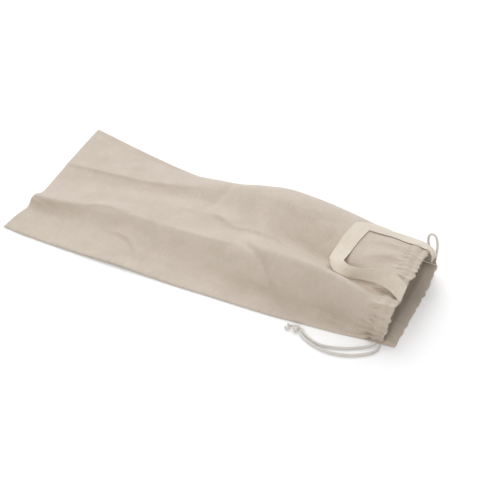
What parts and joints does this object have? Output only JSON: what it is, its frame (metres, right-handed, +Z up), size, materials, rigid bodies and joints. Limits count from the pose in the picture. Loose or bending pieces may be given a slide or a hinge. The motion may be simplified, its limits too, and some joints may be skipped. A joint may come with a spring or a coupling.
{
  "type": "linen bread bag",
  "caption": "Long natural linen-cotton bag for loaves, lying on its back with two loaf humps, gathered drawcord mouth and a twill tape handle loop",
  "frame": {"origin": "centre of the bag's footprint on the surface it lies on (cords left out)", "axes": "+X along the bag from its closed bottom to its mouth, +Y from the near side seam to the far one, +Z up"},
  "size_m": [0.648, 0.3043, 0.0772],
  "materials": {
    "linen_cloth": "natural unbleached plain weave linen-cotton with fine slubs, matte",
    "twill_tape": "cream cotton twill tape, matte",
    "cotton_cord": "natural soft braided cotton cord, matte"
  },
  "bodies": {
    "root": {"front_panel": "linen_cloth", "back_panel": "linen_cloth", "handle_tape": "twill_tape", "cord_a": "cotton_cord", "cord_b": "cotton_cord", "cord_knot": "cotton_cord", "cord_tail_a": "cotton_cord", "cord_tail_b": "cotton_cord", "cord_far_loop": "cotton_cord"}
  },
  "joints": []
}
